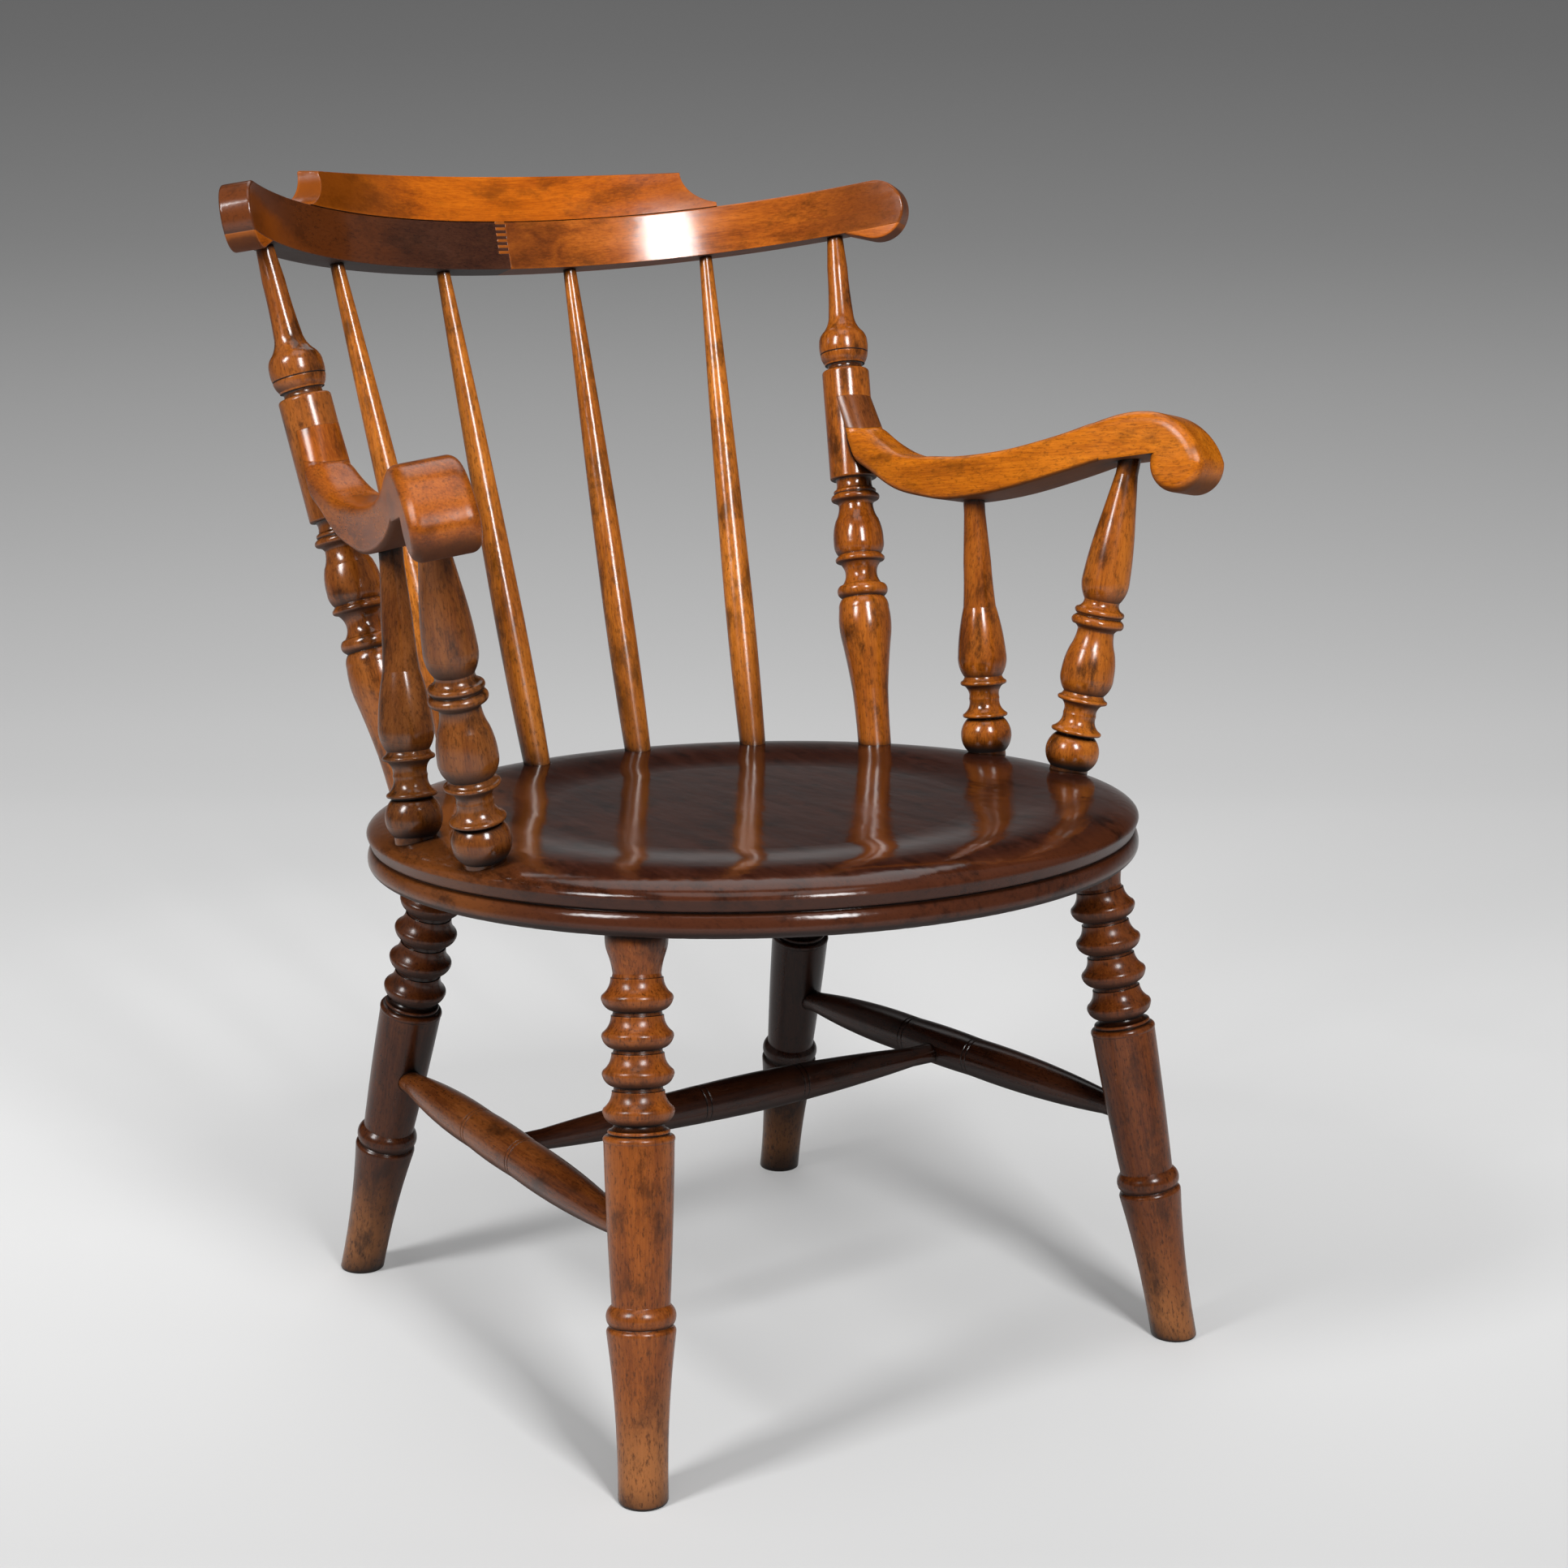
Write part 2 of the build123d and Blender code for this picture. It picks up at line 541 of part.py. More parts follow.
# Back posts
for side, sign in SIDES:
    foot, head = post_ends(sign)
    axis = unit(foot, head)
    start = foot - axis * POST_TENON_LENGTH
    lower = ((POST_TENON_LENGTH, POST_FOOT_DIAMETER, 0), *POST_VASE_STEPS, (DRUM_LENGTH, DRUM_DIAMETER, 0))
    taper = (head - start).length - run(lower + POST_BULB_STEPS)
    steps = (*lower, *POST_BULB_STEPS, (taper, POST_TOP_DIAMETER, 0), (POST_TOP_TENON, POST_TOP_DIAMETER, 0))
    drum = drum_plane(sign)
    notch_face = DRUM_DIAMETER / 2 - ARM_NOTCH_DEPTH
    notch_clear = DRUM_DIAMETER
    notch_fall = ARM_NOTCH_LENGTH / ARM_NOTCH_DEPTH * (notch_clear - notch_face)
    screw = screw_plane(sign)
    with BuildPart() as back_post:
        with BuildSketch(turning_plane(start, axis)):
            with BuildLine():
                turned_outline(POST_FOOT_DIAMETER, steps)
            make_face()
        revolve(axis=Axis(start, axis))
        with BuildSketch(Plane(origin=drum.origin, x_dir=drum.y_dir, z_dir=drum.y_dir.cross(drum.z_dir))):
            with BuildLine():
                Polyline((notch_face, 0), (notch_clear, 0), (notch_clear, notch_fall), close=True)
            make_face()
        extrude(amount=DRUM_DIAMETER, both=True, mode=Mode.SUBTRACT)
        with BuildSketch(screw):
            Circle(SCREW_DIAMETER / 2 + GLUE_GAP)
        extrude(amount=DRUM_DIAMETER, mode=Mode.SUBTRACT)
        with BuildSketch(screw):
            Circle(SCREW_HEAD_DIAMETER / 2 + GLUE_GAP)
        with BuildSketch(screw.offset(SCREW_HEAD_HEIGHT)):
            Circle(SCREW_DIAMETER / 2 + GLUE_GAP)
        loft(mode=Mode.SUBTRACT)
        with BuildSketch(screw):
            Circle(PELLET_DIAMETER / 2 + GLUE_GAP)
        extrude(amount=-DRUM_DIAMETER, mode=Mode.SUBTRACT)
    back_post.part.label = f"back_post_{side}"
    export_step(back_post.part, f"parts/back_post_{side}.step")

# Back spindles
for side, sign in SIDES:
    for place, seat_angle, bow_angle in SPINDLES:
        foot, head = spindle_ends(sign, seat_angle, bow_angle)
        axis = unit(foot, head)
        start = foot - axis * SPINDLE_TENON_LENGTH
        taper = (head - foot).length - SPINDLE_BELLY_HEIGHT
        steps = (
            (SPINDLE_TENON_LENGTH, SPINDLE_FOOT_DIAMETER, 0),
            (SPINDLE_BELLY_HEIGHT, SPINDLE_BELLY_DIAMETER, SPINDLE_FOOT_BULGE),
            (taper, SPINDLE_TOP_DIAMETER, SPINDLE_TAPER_BULGE),
            (SPINDLE_TOP_TENON, SPINDLE_TOP_DIAMETER, 0),
        )
        with BuildPart() as spindle:
            with BuildSketch(turning_plane(start, axis)):
                with BuildLine():
                    turned_outline(SPINDLE_FOOT_DIAMETER, steps)
                make_face()
            revolve(axis=Axis(start, axis))
        spindle.part.label = f"back_spindle_{place}_{side}"
        export_step(spindle.part, f"parts/back_spindle_{place}_{side}.step")

# Arm stumps
for side, sign in SIDES:
    for row, stump_steps in (("front", FRONT_STUMP_STEPS), ("rear", REAR_STUMP_STEPS)):
        foot, head = stump_ends(sign, row)
        axis = unit(foot, head)
        start = foot - axis * STUMP_TRIM
        taper = (head - foot).length - run(stump_steps) - STUMP_TOP_TENON
        top_steps = ((taper, STUMP_TOP_DIAMETER, 0), (STUMP_TOP_TENON, STUMP_TOP_DIAMETER, 0))
        steps = ((STUMP_TRIM, STUMP_FOOT_DIAMETER, 0), *stump_steps, *top_steps)
        with BuildPart() as stump:
            with BuildSketch(turning_plane(start, axis)):
                with BuildLine():
                    turned_outline(STUMP_FOOT_DIAMETER, steps)
                make_face()
            revolve(axis=Axis(start, axis))
            add(seat_blank.part, mode=Mode.SUBTRACT)
            with BuildSketch(Plane(origin=foot - axis * STUMP_TENON_LENGTH, z_dir=axis)):
                Circle(STUMP_TENON_DIAMETER / 2)
            extrude(amount=STUMP_TENON_LENGTH + STUMP_TRIM)
        stump.part.label = f"arm_stump_{row}_{side}"
        export_step(stump.part, f"parts/arm_stump_{row}_{side}.step")


# Arms
def with_midways(sections):
    """Sections with one more between each two, on a smooth curve through them all."""
    row = []
    for index, (start, end) in enumerate(zip(sections, sections[1:])):
        before = sections[max(index - 1, 0)]
        after = sections[min(index + 2, len(sections) - 1)]
        middle = [(9 * (b + c) - a - d) / 16 for a, b, c, d in zip(before, start, end, after)]
        row += [start, middle]
    return [*row, sections[-1]]


def outside_edges(edges, plane):
    """Edges along the top, front and underside of the scroll, on its two side faces."""
    kept = []
    for edge in edges:
        middle = plane.to_local_coords(edge.center())
        on_side = abs(abs(middle.Z) - ARM_END_WIDTH / 2) < GLUE_GAP
        if on_side and middle.X > GLUE_GAP and (middle.Y > 0 or middle.X > LOBE_BACK[0] + GLUE_GAP):
            kept.append(edge)
    return kept


for side, sign in SIDES:
    drum = drum_plane(sign)
    scroll = scroll_plane(sign)
    ahead = arm_plane(sign, ARM_END_SECTION).z_dir
    lean = atan2(ahead.dot(scroll.y_dir), ahead.dot(scroll.x_dir))
    top = (-ARM_END_THICKNESS / 2 * sin(lean), ARM_END_THICKNESS / 2 * cos(lean))
    bottom = (-top[0], -top[1])
    with BuildPart() as arm_scroll:
        with BuildSketch(scroll):
            with BuildLine():
                Spline(top, SCROLL_CROWN, tangents=[(cos(lean), sin(lean)), (1, 0)])
                TangentArc(SCROLL_CROWN, SCROLL_TIP, tangent=(1, 0))
                ThreePointArc(SCROLL_TIP, LOBE_BOTTOM, LOBE_BACK)
                Polyline(LOBE_BACK, (LOBE_BACK[0], -SCROLL_NOTCH_DROP), bottom, top)
            make_face()
        extrude(amount=ARM_END_WIDTH / 2, both=True)
        fillet(outside_edges(arm_scroll.edges(), scroll), ARM_END_ROUND)

    with BuildPart() as arm_blank:
        with BuildSketch(drum):
            RectangleRounded(DRUM_DIAMETER, DRUM_DIAMETER, ARM_TURNED_ROUND)
        for sections in (ARM_SECTIONS[:1], with_midways(ARM_SECTIONS)):
            for section in sections:
                width, thickness, top_round, bottom_round = section[4:]
                with BuildSketch(arm_plane(sign, section)) as outline:
                    Rectangle(width, thickness)
                    fillet(outline.vertices().group_by(Axis.Y)[-1], top_round)
                    fillet(outline.vertices().group_by(Axis.Y)[0], bottom_round)
            loft()
        add(arm_scroll.part)
        with BuildSketch(notch_plane(sign)):
            Rectangle(ARM_BLOCK_REACH * 2, ARM_BLOCK_REACH * 2)
        extrude(amount=ARM_BLOCK_REACH, mode=Mode.SUBTRACT)
    glue_plane = Plane(origin=drum.origin - Vector(0, 0, ARM_BLOCK_DROP))

    with BuildPart() as arm:
        add(arm_blank.part)
        with BuildSketch(glue_plane):
            Rectangle(ARM_BLOCK_REACH, ARM_BLOCK_REACH)
        extrude(amount=ARM_BLOCK_REACH, mode=Mode.SUBTRACT)
        for row in ("front", "rear"):
            foot, head = stump_ends(sign, row)
            way_out = unit(head, foot)
            with BuildSketch(socket_plane(head, way_out)):
                Circle(STUMP_TOP_DIAMETER / 2 + GLUE_GAP)
            extrude(amount=DRUM_DIAMETER, mode=Mode.SUBTRACT)
        with BuildSketch(screw_plane(sign)):
            Circle(SCREW_DIAMETER / 2 + GLUE_GAP)
        extrude(amount=SCREW_LENGTH + GLUE_GAP, mode=Mode.SUBTRACT)
    arm.part.label = f"arm_{side}"
    export_step(arm.part, f"parts/arm_{side}.step")

    with BuildPart() as arm_back_block:
        add(arm_blank.part)
        with BuildSketch(glue_plane):
            Rectangle(ARM_BLOCK_REACH, ARM_BLOCK_REACH)
        extrude(amount=ARM_BLOCK_REACH, mode=Mode.INTERSECT)
    arm_back_block.part.label = f"arm_back_block_{side}"
    export_step(arm_back_block.part, f"parts/arm_back_block_{side}.step")

# Crest rail, in two halves with a finger joint
blank_angle = EAR_BOW_ANGLE + degrees(2 * EAR_RADIUS / BOW_RADIUS)
ear_rise = RAIL_HEIGHT - EAR_RADIUS
ear_tail_drop = sqrt(EAR_RADIUS ** 2 - EAR_TAIL_END ** 2)


def ear_plane(sign):
    """Plane across the bow's radius at the centre of a rail end: X is outward, Y is up."""
    angle = radians(EAR_BOW_ANGLE)
    radial = CREST_BASE.x_dir * (sign * sin(angle)) + CREST_BASE.y_dir * cos(angle)
    tangent = CREST_BASE.x_dir * (sign * cos(angle)) - CREST_BASE.y_dir * sin(angle)
    middle = round_point(CREST_BASE.offset(ear_rise), sign, BOW_RADIUS, EAR_BOW_ANGLE)
    return Plane(origin=middle, x_dir=tangent, z_dir=radial * -sign)


def outer_edges(edges):
    """Edges round the front and back of a rail end or block, but not those on a flat glue face."""
    kept = []
    for edge in edges:
        middle = CREST_BASE.to_local_coords(edge.center())
        radius = sqrt(middle.X ** 2 + middle.Y ** 2)
        on_face = abs(abs(radius - BOW_RADIUS) - RAIL_DEPTH / 2) < GLUE_GAP
        swung = abs(middle.X) > GLUE_GAP
        if on_face and swung and middle.Z < RAIL_HEIGHT - GLUE_GAP and abs(middle.Z) > GLUE_GAP:
            kept.append(edge)
    return kept


for side, sign in SIDES:
    fingers = sign > 0
    allowance = 0 if fingers else GLUE_GAP
    with BuildPart() as crest_rail:
        with BuildSketch(CREST_BASE):
            with BuildLine():
                first_angle = 90 - blank_angle if fingers else 90
                inner = CenterArc((0, 0), RAIL_INNER, first_angle, blank_angle)
                outer = CenterArc((0, 0), RAIL_OUTER, first_angle, blank_angle)
                Line(inner @ 0, outer @ 0)
                Line(inner @ 1, outer @ 1)
            make_face()
        extrude(amount=RAIL_HEIGHT)
        with BuildSketch(ear_plane(sign)):
            with Locations((2 * EAR_RADIUS, 0)):
                Rectangle(4 * EAR_RADIUS, 4 * EAR_RADIUS)
            Circle(EAR_RADIUS, mode=Mode.SUBTRACT)
        extrude(amount=RAIL_DEPTH, both=True, mode=Mode.SUBTRACT)
        fillet(outer_edges(crest_rail.edges()), RAIL_ROUND)
        for index in range(FINGER_COUNT):
            level = RAIL_HEIGHT - index * FINGER_PITCH - allowance
            with BuildSketch(CREST_BASE.offset(level + 2 * allowance)):
                Circle(RAIL_OUTER)
                Circle(RAIL_INNER, mode=Mode.SUBTRACT)
                with Locations((-(FINGER_LENGTH + allowance) / 2, BOW_RADIUS)):
                    Rectangle(FINGER_LENGTH + allowance, 2 * RAIL_DEPTH, mode=Mode.INTERSECT)
            thickness = FINGER_THICKNESS + 2 * allowance
            extrude(amount=-thickness, mode=Mode.ADD if fingers else Mode.SUBTRACT)
        for tip, way_out, diameter, length in crest_tenons(sign):
            with BuildSketch(socket_plane(tip, way_out)):
                Circle(diameter / 2 + GLUE_GAP)
            extrude(amount=length + SOCKET_LEAD, mode=Mode.SUBTRACT)
    crest_rail.part.label = f"crest_rail_{side}"
    export_step(crest_rail.part, f"parts/crest_rail_{side}.step")

    with BuildPart() as ear_block:
        with BuildSketch(CREST_BASE):
            Circle(RAIL_OUTER)
            Circle(RAIL_INNER, mode=Mode.SUBTRACT)
        extrude(amount=-EAR_RADIUS)
        with BuildSketch(ear_plane(sign)):
            Circle(EAR_RADIUS)
            with BuildLine():
                tail = (-EAR_TAIL_END, -ear_tail_drop)
                Polyline((0, -ear_rise), (-EAR_TAIL, -ear_rise), tail, close=True)
            make_face()
        extrude(amount=RAIL_DEPTH, both=True, mode=Mode.INTERSECT)
        fillet(outer_edges(ear_block.edges()), RAIL_ROUND)
    ear_block.part.label = f"crest_ear_block_{side}"
    export_step(ear_block.part, f"parts/crest_ear_block_{side}.step")

# Cresting
first_angle = radians(CRESTING_HALF_ANGLE - CRESTING_TURN)
section_side = CREST_BASE.x_dir * sin(first_angle) + CREST_BASE.y_dir * cos(first_angle)
with BuildPart() as cresting:
    section_normal = section_side.cross(CREST_BASE.z_dir)
    with BuildSketch(Plane(CREST_BASE.origin, x_dir=section_side, z_dir=section_normal)):
        with BuildLine():
            blank_top = RAIL_HEIGHT + CRESTING_BLANK_HEIGHT
            lower_front = (RAIL_INNER, RAIL_HEIGHT)
            upper_front = (RAIL_OUTER - CRESTING_TOP_THICKNESS, blank_top)
            Polyline(lower_front, (RAIL_OUTER, RAIL_HEIGHT), (RAIL_OUTER, blank_top), upper_front)
            SagittaArc(upper_front, lower_front, -CRESTING_HOLLOW)
        make_face()
    revolve(axis=Axis(CREST_BASE.origin, CREST_BASE.z_dir), revolution_arc=2 * CRESTING_HALF_ANGLE)
    with BuildSketch(Plane.XZ.offset(-SEAT_Y - BACK_REACH)):
        with BuildLine():
            top_left = (-BOW_RADIUS / 2, CHAIR_HEIGHT)
            top_right = (BOW_RADIUS / 2, CHAIR_HEIGHT)
            ThreePointArc(top_left, (0, CHAIR_HEIGHT - CRESTING_DIP), top_right)
            above = CHAIR_HEIGHT + BOW_RADIUS
            outer_left = (-BOW_RADIUS, CHAIR_HEIGHT)
            outer_right = (BOW_RADIUS, CHAIR_HEIGHT)
            Polyline(top_right, outer_right, (0, above), outer_left, top_left)
        make_face()
    extrude(amount=BOW_RADIUS, both=True, mode=Mode.SUBTRACT)
    for _, sign in SIDES:
        angle = radians(CRESTING_HALF_ANGLE - sign * CRESTING_TURN)
        end = round_point(CREST_BASE, sign, BOW_RADIUS, degrees(angle))
        inward = Vector(-sign * sin(angle), -cos(angle), 0)
        along = inward.cross(Vector(0, 0, 1))
        with BuildSketch(Plane(origin=(end.X, end.Y, CHAIR_HEIGHT), x_dir=along, z_dir=inward)):
            Ellipse(CRESTING_SCOOP_LENGTH, CRESTING_SCOOP_HEIGHT)
        extrude(amount=BOW_RADIUS / 2, both=True, mode=Mode.SUBTRACT)
    fillet(cresting.faces().sort_by(Axis.Z)[-1].edges(), CRESTING_ROUND)
cresting.part.label = "cresting"
export_step(cresting.part, "parts/cresting.step")

# Screws and pellets behind the arms
with BuildPart() as arm_screws:
    for side, sign in SIDES:
        screw = screw_plane(sign)
        with BuildSketch(screw):
            Circle(SCREW_DIAMETER / 2)
        extrude(amount=SCREW_LENGTH)
        with BuildSketch(screw):
            Circle(SCREW_HEAD_DIAMETER / 2)
        with BuildSketch(screw.offset(SCREW_HEAD_HEIGHT)):
            Circle(SCREW_DIAMETER / 2)
        loft()
arm_screws.part.label = "arm_screws"
export_step(arm_screws.part, "parts/arm_screws.step")

pellets = []
for side, sign in SIDES:
    drum = drum_plane(sign)
    with BuildPart() as pellet:
        with BuildSketch(drum):
            Circle(DRUM_DIAMETER / 2)
        extrude(amount=2 * SCREW_DROP)
        with BuildSketch(screw_plane(sign)):
            Circle(PELLET_DIAMETER / 2)
        extrude(amount=-DRUM_DIAMETER, mode=Mode.INTERSECT)
    pellets.append(pellet.part)

with BuildPart() as screw_pellets:
    add(pellets)
screw_pellets.part.label = "screw_pellets"
export_step(screw_pellets.part, "parts/screw_pellets.step")
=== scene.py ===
import math

import bpy
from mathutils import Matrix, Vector


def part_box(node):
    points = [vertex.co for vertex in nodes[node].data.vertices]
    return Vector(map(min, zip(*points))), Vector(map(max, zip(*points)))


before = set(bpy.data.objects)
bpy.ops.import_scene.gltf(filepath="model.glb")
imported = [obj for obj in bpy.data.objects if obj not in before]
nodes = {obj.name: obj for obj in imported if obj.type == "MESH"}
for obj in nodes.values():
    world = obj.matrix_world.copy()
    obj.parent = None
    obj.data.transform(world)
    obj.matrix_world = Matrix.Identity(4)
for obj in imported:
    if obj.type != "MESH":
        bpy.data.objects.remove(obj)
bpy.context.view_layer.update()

# Wood colours, in linear red, green and blue; the shaded copies of a wood are darker, as
# painted shade
ARM = (0.50, 0.134, 0.005)
SHADED_NEAR_ARM = (0.29, 0.070, 0.005)
BLOCK = (0.17, 0.046, 0.008)
CRESTING = (0.43, 0.093, 0.002)
CRESTING_END = (0.17, 0.040, 0.003)
LIGHT_RAIL = (0.40, 0.096, 0.006)
DARK_RAIL = (0.055, 0.017, 0.007)
RED_RAIL = (0.12, 0.029, 0.005)
POST = (0.33, 0.086, 0.007)
SHADED_NEAR_POST = (0.24, 0.065, 0.008)
SPINDLE = (0.50, 0.148, 0.014)
STUMP = (0.34, 0.090, 0.007)
SHADED_NEAR_STUMP = (0.16, 0.046, 0.007)
FRONT_LEG = (0.215, 0.055, 0.007)
SHADED_SIDE_LEG = (0.145, 0.036, 0.006)
SHADED_BACK_LEG = (0.085, 0.022, 0.005)
SHADED_FAR_LEG = (0.035, 0.009, 0.003)
STRETCHER = (0.17, 0.046, 0.008)
SHADED_STRETCHER = (0.045, 0.012, 0.004)
SEAT = (0.040, 0.0105, 0.0050)
# Painted light: a lighter rim where the side light falls on the seat's near-left side
LIT_SEAT_RIM = (0.16, 0.047, 0.010)
SEAT_EDGE = (0.060, 0.016, 0.006)
FOOT = (0.33, 0.125, 0.035)
# Dark for worm holes, and for grime with painted shade in crevices and seams
DARK_GRIME_AND_SHADE = (0.006, 0.002, 0.001)
STEEL = (0.35, 0.34, 0.32)

# Finish by kind of piece: clouds, flecks, roughness, worn edges, and grime with painted shade
# in crevices
SEAT_FINISH = {"cloud": 0.6, "fleck": 0.4, "roughness": 0.11, "wear": 0.9, "grime_and_shade": 0.5}
LEG_FINISH = {"cloud": 0.65, "fleck": 1.0, "roughness": 0.24, "wear": 1.0}
SIDE_STRETCHER_FINISH = {"cloud": 0.7, "fleck": 0.9, "roughness": 0.24, "wear": 0.6}
CROSS_STRETCHER_FINISH = {"cloud": 0.6, "fleck": 0.5, "roughness": 0.24, "wear": 0.4}
POST_FINISH = {"cloud": 0.85, "fleck": 0.8, "roughness": 0.16, "wear": 0.7}
SPINDLE_FINISH = {"cloud": 0.7, "fleck": 0.9, "roughness": 0.19, "wear": 0.3}
STUMP_FINISH = {"cloud": 0.85, "fleck": 0.8, "roughness": 0.17, "wear": 0.7}
ARM_FINISH = {"cloud": 0.5, "fleck": 0.7, "roughness": 0.2, "wear": 0.6, "grime_and_shade": 0.9}
BLOCK_FINISH = {"cloud": 0.6, "fleck": 0.7, "roughness": 0.22}
EAR_FINISH = {"cloud": 0.4, "fleck": 0.5, "roughness": 0.2}
CRESTING_FINISH = {"cloud": 0.45, "fleck": 0.25, "roughness": 0.2, "wear": 0.5, "grime_and_shade": 0.7}
LIGHT_RAIL_FINISH = {"cloud": 0.6, "fleck": 0.4, "roughness": 0.14, "wear": 0.6, "grime_and_shade": 0.6}
DARK_RAIL_FINISH = {"cloud": 0.4, "fleck": 0.5, "roughness": 0.15, "wear": 0.9, "grime_and_shade": 0.6}
POLISHED_IOR = 1.5
STEEL_ROUGHNESS = 0.4

# What a patch of colour is measured along: an axis, or out from the seat's middle
UP = (0, 0, 1)
ACROSS_X = (1, 0, 0)
ALONG_Y = (0, 1, 0)
LIT_SEAT_SIDE = (-0.9, 0.42, 0)
ROUND = "round"
SEAT_Y = -0.0446
RAGGED = 1.6

# Patches of another colour: what they are measured along, start, full, colour and share
WORN_FOOT = (UP, 0.09, 0.01, FOOT, 0.7)
DARK_FOOT = (UP, 0.46, 0.34, SHADED_BACK_LEG, 0.55)
SEAT_PATCHES = (
    (ROUND, 0.222, 0.246, SEAT_EDGE, 0.9),
    # Painted light on the seat's near-left rim, where the side light falls
    (LIT_SEAT_SIDE, 0.12, 0.19, LIT_SEAT_RIM, 0.85),
)
CRESTING_PATCHES = (
    (ACROSS_X, -0.06, -0.13, CRESTING_END, 0.9),
    (ACROSS_X, 0.06, 0.17, CRESTING_END, 0.5),
)
LIGHT_RAIL_PATCHES = (
    (ACROSS_X, 0.17, 0.23, RED_RAIL, 0.7),
    (ACROSS_X, 0.09, 0.0, RED_RAIL, 0.6),
)
DARK_RAIL_PATCHES = ((ACROSS_X, -0.05, -0.15, RED_RAIL, 0.8),)

# Noises in the wood: marks per millimetre, stretch along the grain, detail and roughness
FIBRE = (0.9, 0.05, 3.0, 0.6)
BANDS = (0.10, 0.07, 3.0, 0.5)
STAIN = (0.018, 0.45, 4.0, 0.6)
FLAME = (0.03, 0.5, 2.0, 0.5)
MOTTLE = (0.05, 0.5, 7.0, 0.72)
DASHES = (0.62, 0.35, 3.0, 0.7)
WAVE = (0.05, 0.4, 2.0, 0.5)
MM_PER_METRE = 1000
OFFSET_STEP = 37
OFFSET_LIMIT = 1000

# The grain's value: its middle, how far each noise sways it, and the flame figure
GRAIN_MIDDLE = 0.55
FIBRE_SWAY = 0.75
BANDS_SWAY = 0.8
STAIN_SWAY = 1.5
FLAME_LINES = 45.0
FLAME_DEPTH = 0.17
FLAME_SPAN = (0.085, 0.0)

# Shares of a wood's colour at places in the grain's value, from dark to light
GRAIN_SHADES = (
    (0.12, (0.30, 0.24, 0.3)),
    (0.40, (0.72, 0.66, 0.7)),
    (0.60, (1.0, 1.0, 1.0)),
    (0.92, (1.35, 1.50, 1.9)),
)
WORN_SHARE = GRAIN_SHADES[-1][1]
# Dark colour for mottled patina and flecks, and for painted shade on undersides
PATINA_AND_SHADE_SHARE = (0.2, 0.2, 0.2)

# Layers of age and of painted shade: the values at which each starts and is full, and its full
# share
MOTTLE_LAYER = (0.48, 0.68, 1.2)
FLECK_LAYER = (0.50, 0.68, 0.75)
EDGE_LAYER = (0.75, 0.35, 0.6)
CREVICE_LAYER = (0.88, 0.45, 0.8)
SEAM_LAYER = (0.86, 0.52, 0.95)
# Painted shade on undersides: where it starts and is full as a face points down, and its share
UNDERSIDE = (-0.12, -0.65)
UNDERSIDE_SHADE = 0.85
UNDERSIDE_DULLING = 0.5
EDGE_REACH = 0.004
CREVICE_REACH = 0.03
SEAM_REACH = 0.007
EDGE_SAMPLES = 6
DIRT_SAMPLES = 8
DIRT_SWAY = 0.5

# Worm holes: cells per millimetre, a hole's radius in its cell, and the share of cells bored
HOLE_CELLS = 0.06
HOLE_RIM = (0.045, 0.065)
ARM_HOLES = 0.16

# Surface: softened edges, low relief, and how the stain varies the roughness
SOFT_EDGE = 0.0008
SEAT_SOFT_EDGE = 0.002
ARM_SOFT_EDGE = 0.004
SOFT_EDGE_SAMPLES = 4
WAVE_RELIEF = 0.6
DASH_RELIEF = -0.05
RELIEF_STRENGTH = 0.35
RELIEF_DEPTH = 0.0014
STAIN_RANGE = (0.3, 0.7)
ROUGHNESS_SHARES = (0.8, 1.3)

# Width of a turned piece, taken off its box to find its lean
TURNED_WIDTH = 0.034

# Studio sheet: its directions, floor, sweep and wall, in metres
AHEAD = Vector((0.5744, 0.8186, 0))
ACROSS = Vector((0.8186, -0.5744, 0))
FLOOR_ENDS = (-5.0, 1.6)
SWEEP_RADIUS = 2.0
SWEEP_STEPS = 24
WALL_TOP = 5.0
HALF_WIDTH = 6.0

# Greys of the sheet's paper and of its glow, at shares of its length
# The paper darkening up the wall is painted shade, and the glow is painted light
PAPER_AND_SHADE_TONES = (
    (0.0, 0.55), (0.36, 0.55), (0.40, 0.58), (0.45, 0.58), (0.55, 0.42),
    (0.62, 0.28), (0.68, 0.085), (0.72, 0.02), (1.0, 0.02),
)
GLOW_TONES = (
    (0.0, 0.40), (0.25, 0.35), (0.34, 0.02), (0.362, 0.0), (0.3811, 0.10), (0.4034, 0.21),
    (0.4174, 0.27), (0.4539, 0.29), (0.5091, 0.33), (0.5405, 0.315), (0.5829, 0.242),
    (0.6169, 0.178), (0.6469, 0.122), (0.661, 0.114), (0.688, 0.104), (0.712, 0.03),
    (0.75, 0.01), (1.0, 0.0),
)
MIRRORED_GLOW = 0.4
ROOM_SHOWN = 0.35
ROOM_FILL = 0.15

# Soft boxes: name, azimuth, elevation, distance, width, height and watts
SOFT_BOXES = (
    ("key", -11, 36, 2.3, 0.45, 0.85, 46),
    ("side", -84, 36, 2.3, 0.45, 0.85, 36),
    ("top", -35, 80, 2.6, 1.6, 1.6, 12),
    ("back", 150, 52, 2.6, 1.6, 1.6, 9),
)
LIT_POINT = Vector((0, 0, 0.42))

# Camera, with the angles that it looks from in degrees
CAMERA_PLACE = (-0.99608, -1.49948, 0.74728)
CAMERA_AZIMUTH = -35.057
CAMERA_ELEVATION = 12.2475
LENS_MM = 64.09
SENSOR_MM = 36.0


